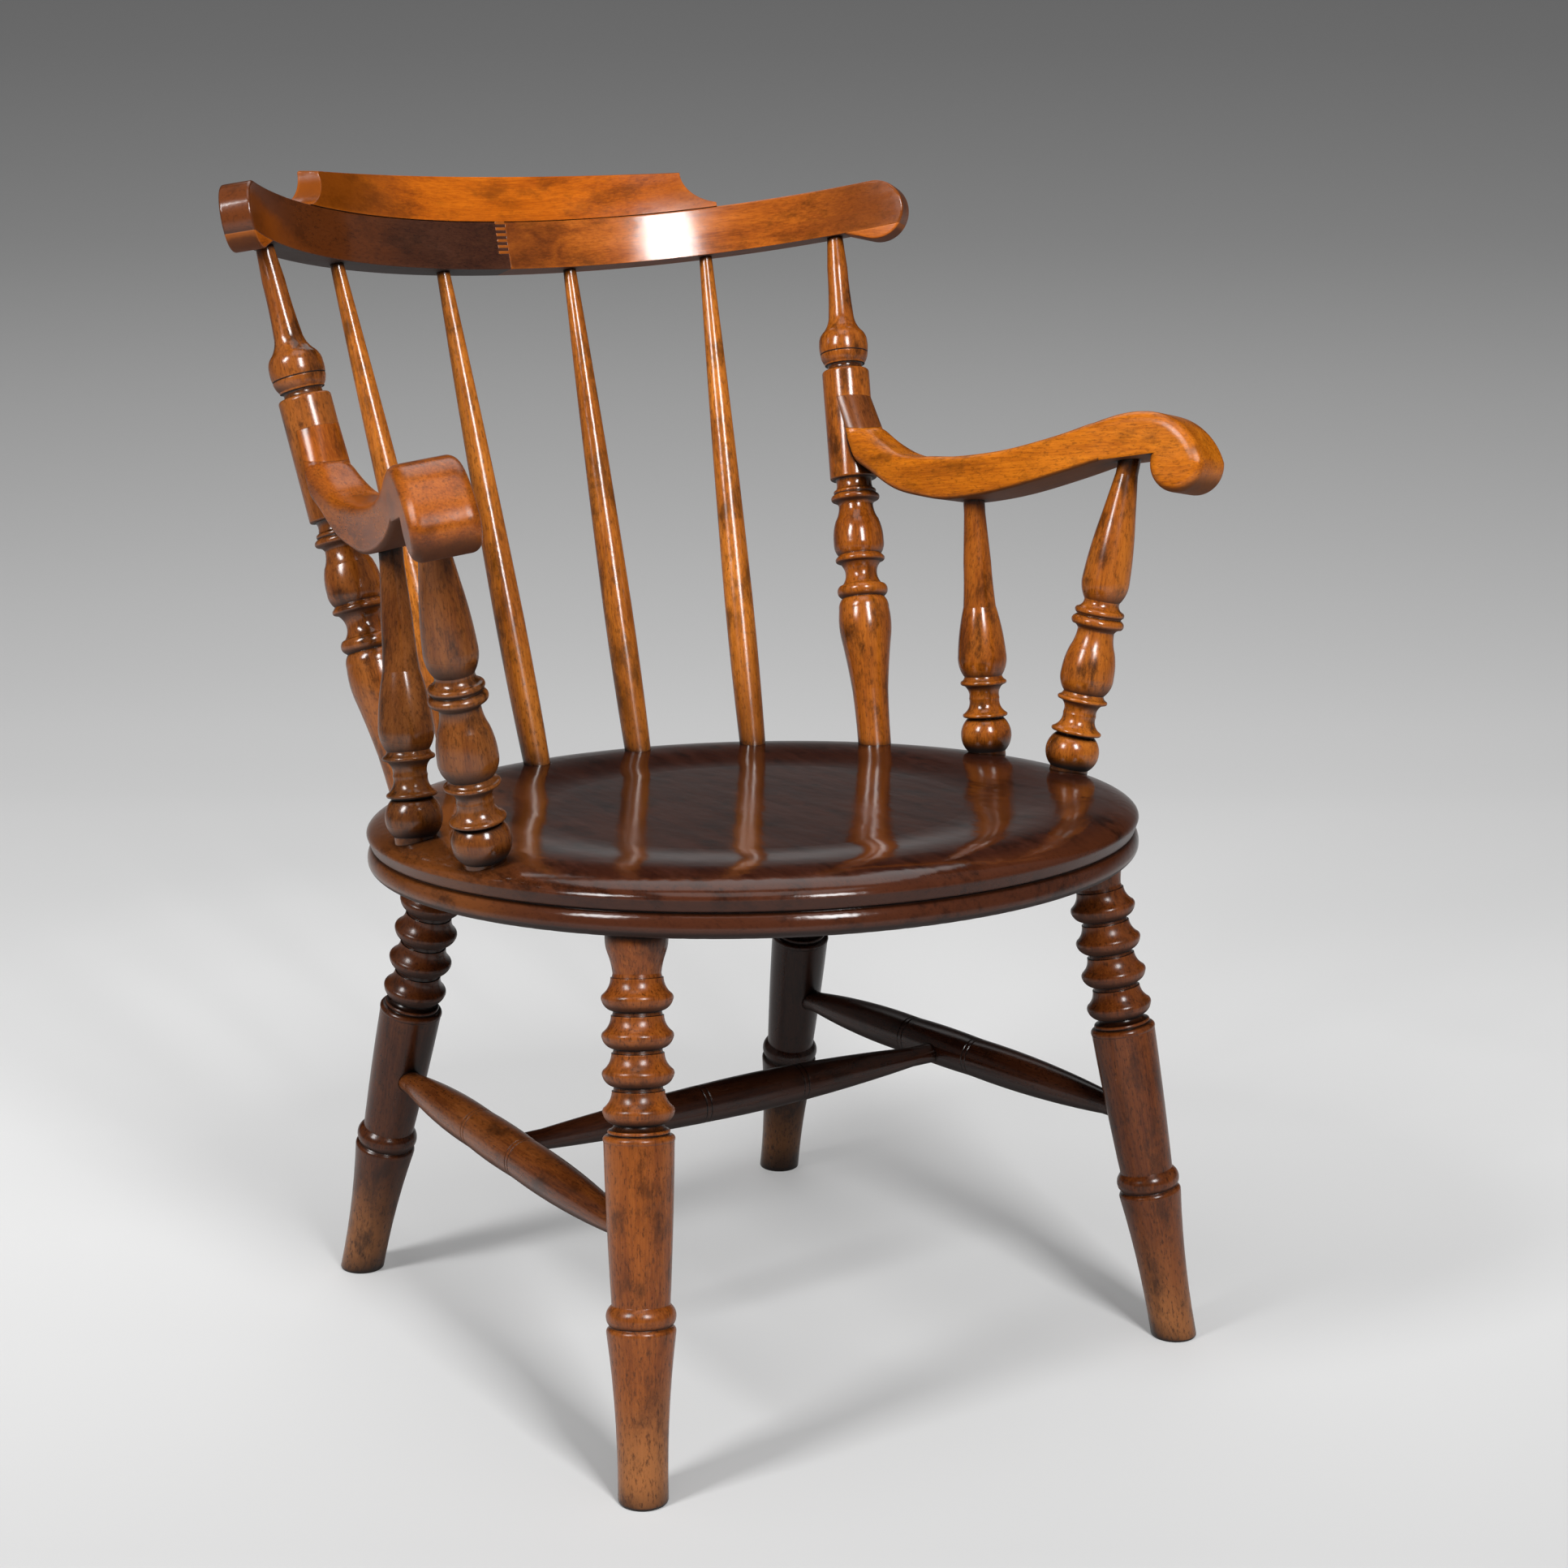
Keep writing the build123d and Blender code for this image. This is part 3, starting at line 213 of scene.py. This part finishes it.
def add(tree, kind, props=(), **inputs):
    """A shader node with its settings, and its inputs set or linked by name or place."""
    made = tree.nodes.new(kind)
    for key, value in dict(props).items():
        setattr(made, key, value)
    for key, value in inputs.items():
        by_place = key[0] == "i" and key[1:].isdigit()
        socket = made.inputs[int(key[1:]) if by_place else key.replace("_", " ")]
        if isinstance(value, bpy.types.NodeSocket):
            tree.links.new(value, socket)
        else:
            socket.default_value = value
    return made


def sums(tree, operation, first, second):
    """Arithmetic on two values."""
    return add(tree, "ShaderNodeMath", {"operation": operation}, i0=first, i1=second).outputs[0]


def spread(tree, value, low, high, start=0.0, end=1.0):
    """A value moved smoothly from one range to another and kept inside it."""
    return add(
        tree, "ShaderNodeMapRange", {"interpolation_type": "SMOOTHSTEP"},
        Value=value, From_Min=low, From_Max=high, To_Min=start, To_Max=end,
    ).outputs[0]


def overlay(tree, colour, share, plain):
    """A colour with a plain one laid over it by a share."""
    props = {"data_type": "RGBA"}
    return add(tree, "ShaderNodeMix", props, i0=share, i6=colour, i7=(*plain, 1)).outputs[2]


def layer(tree, colour, value, limits, amount, plain):
    """A colour with a plain one laid over it where a value goes from a start to an end."""
    start, full, share = limits
    return overlay(tree, colour, spread(tree, value, start, full, 0.0, share * amount), plain)


def noise(tree, place, scale, stretch, detail, rough):
    """Noise per millimetre, drawn out along the grain."""
    drawn = add(
        tree, "ShaderNodeVectorMath", {"operation": "MULTIPLY"},
        i0=place, i1=(scale, scale, scale * stretch),
    )
    made = add(
        tree, "ShaderNodeTexNoise",
        Vector=drawn.outputs[0], Scale=1.0, Detail=detail, Roughness=rough,
    )
    return made.outputs[0]


def weighted(tree, middle, parts):
    """A middle value swayed by noises, each with its weight."""
    total = middle
    for part, weight in parts:
        sway = sums(tree, "MULTIPLY", sums(tree, "SUBTRACT", part, 0.5), weight)
        total = sums(tree, "ADD", sway, total)
    return total


def ramp(tree, value, stops):
    """Colours at places along a value."""
    made = add(tree, "ShaderNodeValToRGB", Fac=value)
    marks = made.color_ramp.elements
    for place, _ in stops[1:-1]:
        marks.new(place)
    for mark, (place, colour) in zip(marks, stops):
        mark.position = place
        mark.color = (*colour, 1)
    return made.outputs[0]


def openness(tree, distance, samples, inside=False):
    """How open a point is to what lies round it, or to the inside of its own piece."""
    props = {"inside": inside, "only_local": inside, "samples": samples}
    return add(tree, "ShaderNodeAmbientOcclusion", props, Distance=distance).outputs["AO"]


def reach(tree, spot, measure, low, high, stain):
    """How far a point lies along an axis or out from the seat's axis, with a ragged edge."""
    if measure == ROUND:
        flat = add(
            tree, "ShaderNodeVectorMath", {"operation": "MULTIPLY_ADD"},
            i0=spot, i1=(1, 1, 0), i2=(0, -SEAT_Y, 0),
        ).outputs[0]
        across = add(tree, "ShaderNodeVectorMath", {"operation": "LENGTH"}, i0=flat)
    else:
        across = add(
            tree, "ShaderNodeVectorMath", {"operation": "DOT_PRODUCT"}, i0=spot, i1=measure
        )
    ragged = weighted(tree, across.outputs["Value"], [(stain, RAGGED * abs(high - low))])
    return spread(tree, ragged, low, high)


def shaded(tone, shares):
    """A wood colour with a share taken of its red, green and blue."""
    return tuple(part * share for part, share in zip(tone, shares))


def offset_of(name, axis):
    """A fixed offset for a piece's grain, so that no two pieces match."""
    letters = sum((index + axis) * ord(letter) for index, letter in enumerate(name))
    return letters * OFFSET_STEP * axis % OFFSET_LIMIT


def grain_colour(tree, spot, place, stain, tone, cloud, figured):
    """Colour of the bare grain, with a flame figure where one is asked for."""
    fibre = noise(tree, place, *FIBRE)
    bands = noise(tree, place, *BANDS)
    sways = [(fibre, FIBRE_SWAY), (bands, BANDS_SWAY), (stain, STAIN_SWAY * cloud)]
    value = weighted(tree, GRAIN_MIDDLE, sways)
    if figured:
        flame = noise(tree, place, *FLAME)
        lines = sums(tree, "SINE", sums(tree, "MULTIPLY", flame, FLAME_LINES), 0.0)
        dark = sums(tree, "MULTIPLY", sums(tree, "SUBTRACT", lines, 1.0), FLAME_DEPTH)
        shown = reach(tree, spot, ACROSS_X, *FLAME_SPAN, stain)
        value = sums(tree, "ADD", value, sums(tree, "MULTIPLY", dark, shown))
    return ramp(tree, value, [(stop, shaded(tone, shares)) for stop, shares in GRAIN_SHADES])


def bored(tree, colour, place, share):
    """A colour with worm holes in a share of the cells."""
    cells = add(tree, "ShaderNodeTexVoronoi", Vector=place, Scale=HOLE_CELLS, Randomness=1.0)
    chance = add(tree, "ShaderNodeSeparateColor", Color=cells.outputs["Color"]).outputs[0]
    near = spread(tree, cells.outputs["Distance"], *HOLE_RIM, 1.0, 0.0)
    picked = sums(tree, "GREATER_THAN", chance, 1.0 - share)
    return overlay(tree, colour, sums(tree, "MULTIPLY", near, picked), DARK_GRIME_AND_SHADE)


def dress(node, material):
    """Gives a node a material in its own slot."""
    slots = nodes[node].data.materials
    slots.clear()
    slots.append(material)


def wood(
    node, grain, tone, cloud=0.5, fleck=0.5, roughness=0.2, wear=0.5, grime_and_shade=1.0,
    patches=(), figured=False, holes=0.0, ior=1.4, soft_edge=SOFT_EDGE,
):
    """Polished wood for a node, with its grain along a direction."""
    material = bpy.data.materials.new(node + "_wood")
    material.use_nodes = True
    tree = material.node_tree
    tree.nodes.clear()
    spot = add(tree, "ShaderNodeTexCoord").outputs["Object"]
    to_grain = Vector(grain).normalized().to_track_quat("Z", "Y").to_matrix().transposed()
    place = add(
        tree, "ShaderNodeMapping", Vector=spot, Rotation=to_grain.to_euler(),
        Location=[offset_of(node, axis) for axis in (1, 2, 3)],
        Scale=(MM_PER_METRE, MM_PER_METRE, MM_PER_METRE),
    ).outputs[0]
    stain = noise(tree, place, *STAIN)
    dashes = noise(tree, place, *DASHES)
    mottle = noise(tree, place, *MOTTLE)
    facing = add(tree, "ShaderNodeNewGeometry").outputs["Normal"]
    upward = add(tree, "ShaderNodeSeparateXYZ", Vector=facing).outputs[2]
    under = spread(tree, upward, *UNDERSIDE)
    # A dark colour for real patina and flecks, and for painted shade under things
    patina_and_shade = shaded(tone, PATINA_AND_SHADE_SHARE)

    colour = grain_colour(tree, spot, place, stain, tone, cloud, figured)
    for measure, low, high, patch, share in patches:
        shown = sums(tree, "MULTIPLY", reach(tree, spot, measure, low, high, stain), share)
        colour = overlay(tree, colour, shown, patch)
    colour = layer(tree, colour, mottle, MOTTLE_LAYER, cloud, patina_and_shade)
    colour = layer(tree, colour, dashes, FLECK_LAYER, fleck, patina_and_shade)
    # Painted shade: undersides darkened as they face down
    colour = overlay(tree, colour, sums(tree, "MULTIPLY", under, UNDERSIDE_SHADE), patina_and_shade)
    edge = openness(tree, EDGE_REACH, EDGE_SAMPLES, inside=True)
    colour = layer(tree, colour, edge, EDGE_LAYER, wear, shaded(tone, WORN_SHARE))
    # Grime with painted shade: crevices and seams darkened where neighbouring surfaces close in
    crevice = openness(tree, CREVICE_REACH, DIRT_SAMPLES)
    soiled_and_shaded = weighted(tree, crevice, [(stain, DIRT_SWAY)])
    colour = layer(tree, colour, soiled_and_shaded, CREVICE_LAYER, grime_and_shade, DARK_GRIME_AND_SHADE)
    seam = openness(tree, SEAM_REACH, DIRT_SAMPLES)
    colour = layer(tree, colour, seam, SEAM_LAYER, grime_and_shade, DARK_GRIME_AND_SHADE)
    if holes:
        colour = bored(tree, colour, place, holes)

    soft = add(
        tree, "ShaderNodeBevel", {"samples": SOFT_EDGE_SAMPLES}, Radius=soft_edge
    ).outputs[0]
    wave = noise(tree, place, *WAVE)
    relief = weighted(tree, 0.0, [(wave, WAVE_RELIEF), (dashes, DASH_RELIEF)])
    bump = add(
        tree, "ShaderNodeBump",
        Strength=RELIEF_STRENGTH, Distance=RELIEF_DEPTH, Height=relief, Normal=soft,
    ).outputs[0]
    smooth, dull = (roughness * share for share in ROUGHNESS_SHARES)
    polish = spread(tree, stain, *STAIN_RANGE, smooth, dull)
    dulled = sums(tree, "ADD", polish, sums(tree, "MULTIPLY", under, UNDERSIDE_DULLING))
    shader = add(
        tree, "ShaderNodeBsdfPrincipled",
        Base_Color=colour, Roughness=dulled, IOR=ior, Normal=bump,
    )
    add(tree, "ShaderNodeOutputMaterial", Surface=shader.outputs[0])
    dress(node, material)


def steel(node):
    """Plain screw steel for a node."""
    material = bpy.data.materials.new("screw_steel")
    material.use_nodes = True
    shader = material.node_tree.nodes["Principled BSDF"]
    shader.inputs["Base Color"].default_value = (*STEEL, 1)
    shader.inputs["Metallic"].default_value = 1.0
    shader.inputs["Roughness"].default_value = STEEL_ROUGHNESS
    dress(node, material)


def slant(node, x_sign, y_sign):
    """Direction of a straight leaning piece, from its box and the way it leans going up."""
    low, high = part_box(node)
    size = high - low
    lean_x = max(size.x - TURNED_WIDTH, 0)
    lean_y = max(size.y - TURNED_WIDTH, 0)
    return (x_sign * lean_x, y_sign * lean_y, size.z)


def outward(azimuth, elevation):
    """Direction from the chair to a place at an azimuth and elevation in degrees."""
    turn, rise = math.radians(azimuth), math.radians(elevation)
    level = math.cos(rise)
    return Vector((math.sin(turn) * level, -math.cos(turn) * level, math.sin(rise)))


def sheet_profile():
    """Points along the studio sheet: distance ahead and height."""
    floor_end = FLOOR_ENDS[1]
    profile = [(FLOOR_ENDS[0], 0.0), (floor_end, 0.0)]
    for step in range(1, SWEEP_STEPS + 1):
        angle = math.radians(90 * step / SWEEP_STEPS)
        profile.append((
            floor_end + SWEEP_RADIUS * math.sin(angle),
            SWEEP_RADIUS - SWEEP_RADIUS * math.cos(angle),
        ))
    profile.append((floor_end + SWEEP_RADIUS, WALL_TOP))
    return profile


def sheet_mesh_of(profile):
    """The sheet's mesh, with the share of its length in a UV map."""
    lengths = [0.0]
    for (s0, z0), (s1, z1) in zip(profile, profile[1:]):
        lengths.append(lengths[-1] + math.hypot(s1 - s0, z1 - z0))
    points = [
        AHEAD * s + ACROSS * offset + Vector((0, 0, z))
        for s, z in profile for offset in (-HALF_WIDTH, HALF_WIDTH)
    ]
    faces = [
        (first, first + 1, first + 3, first + 2) for first in range(0, len(points) - 2, 2)
    ]
    mesh = bpy.data.meshes.new("backdrop")
    mesh.from_pydata(points, [], faces)
    uvs = mesh.uv_layers.new(name="along")
    for loop in mesh.loops:
        row, end = divmod(loop.vertex_index, 2)
        uvs.data[loop.index].uv = (end, lengths[row] / lengths[-1])
    for face in mesh.polygons:
        face.use_smooth = True
    return mesh


def greys(tones):
    """Stops of a ramp in grey."""
    return [(place, (tone, tone, tone)) for place, tone in tones]


def seen_share(tree):
    """Strength of a glow that the camera sees in full and a gloss in part."""
    ray = add(tree, "ShaderNodeLightPath").outputs
    mirrored = sums(tree, "MULTIPLY", ray["Is Glossy Ray"], MIRRORED_GLOW)
    seen = sums(tree, "MAXIMUM", ray["Is Camera Ray"], mirrored)
    return sums(tree, "MAXIMUM", seen, ray["Is Transmission Ray"])


def backdrop_paper():
    """Matt paper in greys along the sheet, darker up the wall as painted shade, with a glow of
    painted light that lights nothing.
    """
    material = bpy.data.materials.new("backdrop_paper")
    material.use_nodes = True
    tree = material.node_tree
    tree.nodes.clear()
    sheet_place = add(tree, "ShaderNodeTexCoord").outputs["UV"]
    along = add(tree, "ShaderNodeSeparateXYZ", Vector=sheet_place).outputs[1]
    matt = add(tree, "ShaderNodeBsdfDiffuse", Color=ramp(tree, along, greys(PAPER_AND_SHADE_TONES)))
    glow = add(
        tree, "ShaderNodeEmission",
        Color=ramp(tree, along, greys(GLOW_TONES)), Strength=seen_share(tree),
    )
    both = add(tree, "ShaderNodeAddShader", i0=matt.outputs[0], i1=glow.outputs[0])
    add(tree, "ShaderNodeOutputMaterial", Surface=both.outputs[0])
    return material


def soft_box(name, azimuth, elevation, distance, width, height, power):
    """An area light on a sphere round the chair's middle, facing it."""
    data = bpy.data.lights.new(name, "AREA")
    data.shape = "RECTANGLE"
    data.size, data.size_y = width, height
    data.energy = power
    lamp = bpy.data.objects.new(name, data)
    back = outward(azimuth, elevation)
    lamp.location = LIT_POINT + back * distance
    lamp.rotation_euler = (-back).to_track_quat("-Z", "Y").to_euler()
    lamp.visible_camera = False
    bpy.context.scene.collection.objects.link(lamp)


# Wood and steel of every piece
wood(
    "seat", (0.15, 1, 0), SEAT,
    patches=SEAT_PATCHES, soft_edge=SEAT_SOFT_EDGE, **SEAT_FINISH,
)
# The cross stretcher takes a darker copy of its wood: painted shade under the seat
wood("cross_stretcher", ACROSS_X, SHADED_STRETCHER, **CROSS_STRETCHER_FINISH)
wood("cresting", (1, 0, 0.02), CRESTING, patches=CRESTING_PATCHES, **CRESTING_FINISH)
wood("screw_pellets", ALONG_Y, POST)
steel("arm_screws")
for side, sign in (("left", 1), ("right", -1)):
    # On each side, the darker copies of the wood stand as painted shade on the pieces away from
    # the light
    near = side == "right"
    for row, lean, tone in (
        ("front", 1, FRONT_LEG if near else SHADED_SIDE_LEG),
        ("back", -1, SHADED_BACK_LEG if near else SHADED_FAR_LEG),
    ):
        leg = f"leg_{row}_{side}"
        wood(leg, slant(leg, -sign, lean), tone, patches=[WORN_FOOT], **LEG_FINISH)
    wood(
        f"side_stretcher_{side}", (0.08 * sign, -1, 0),
        STRETCHER if near else SHADED_STRETCHER, **SIDE_STRETCHER_FINISH,
    )
    post = f"back_post_{side}"
    wood(
        post, slant(post, sign, 1), SHADED_NEAR_POST if near else POST,
        ior=POLISHED_IOR, **POST_FINISH,
    )
    for place in ("inner", "outer"):
        spindle = f"back_spindle_{place}_{side}"
        wood(
            spindle, slant(spindle, sign, 1), SPINDLE,
            patches=[DARK_FOOT], ior=POLISHED_IOR, **SPINDLE_FINISH,
        )
    for row in ("front", "rear"):
        stump = f"arm_stump_{row}_{side}"
        wood(
            stump, slant(stump, sign, -1), SHADED_NEAR_STUMP if near else STUMP,
            ior=POLISHED_IOR, **STUMP_FINISH,
        )
    wood(
        f"arm_{side}", (0.25 * sign, -1, 0.12), SHADED_NEAR_ARM if near else ARM,
        holes=ARM_HOLES, soft_edge=ARM_SOFT_EDGE, **ARM_FINISH,
    )
    wood(
        f"arm_back_block_{side}", (0, -0.6, -0.8), SHADED_NEAR_ARM if near else BLOCK,
        **BLOCK_FINISH,
    )
    wood(f"crest_ear_block_{side}", (sign, -1, 0), LIGHT_RAIL, **EAR_FINISH)
wood(
    "crest_rail_left", (0.88, -0.42, 0.1), LIGHT_RAIL,
    patches=LIGHT_RAIL_PATCHES, figured=True, ior=POLISHED_IOR, **LIGHT_RAIL_FINISH,
)
wood(
    "crest_rail_right", (0.88, 0.42, -0.1), DARK_RAIL,
    patches=DARK_RAIL_PATCHES, ior=POLISHED_IOR, **DARK_RAIL_FINISH,
)

# Studio floor and backdrop: one sheet, curved up behind the chair
sheet_mesh = sheet_mesh_of(sheet_profile())
backdrop = bpy.data.objects.new("backdrop", sheet_mesh)
bpy.context.scene.collection.objects.link(backdrop)
sheet_mesh.materials.append(backdrop_paper())

# Light: two soft boxes in front of the chair, dim ones above and behind, and a dim room
for box in SOFT_BOXES:
    soft_box(*box)
world = bpy.data.worlds.new("room")
world.use_nodes = True
room_tree = world.node_tree
room = room_tree.nodes["Background"]
room.inputs["Color"].default_value = (1, 1, 1, 1)
room_seen = sums(room_tree, "MULTIPLY", seen_share(room_tree), ROOM_SHOWN)
room_strength = sums(room_tree, "MAXIMUM", room_seen, ROOM_FILL)
room_tree.links.new(room_strength, room.inputs["Strength"])
bpy.context.scene.world = world
bpy.context.scene.view_settings.view_transform = "Standard"

# Camera
lens = bpy.data.cameras.new("camera")
lens.lens = LENS_MM
lens.sensor_width = SENSOR_MM
camera = bpy.data.objects.new("camera", lens)
camera.location = CAMERA_PLACE
look = -outward(CAMERA_AZIMUTH, CAMERA_ELEVATION)
camera.rotation_euler = look.to_track_quat("-Z", "Y").to_euler()
bpy.context.scene.collection.objects.link(camera)
bpy.context.scene.camera = camera
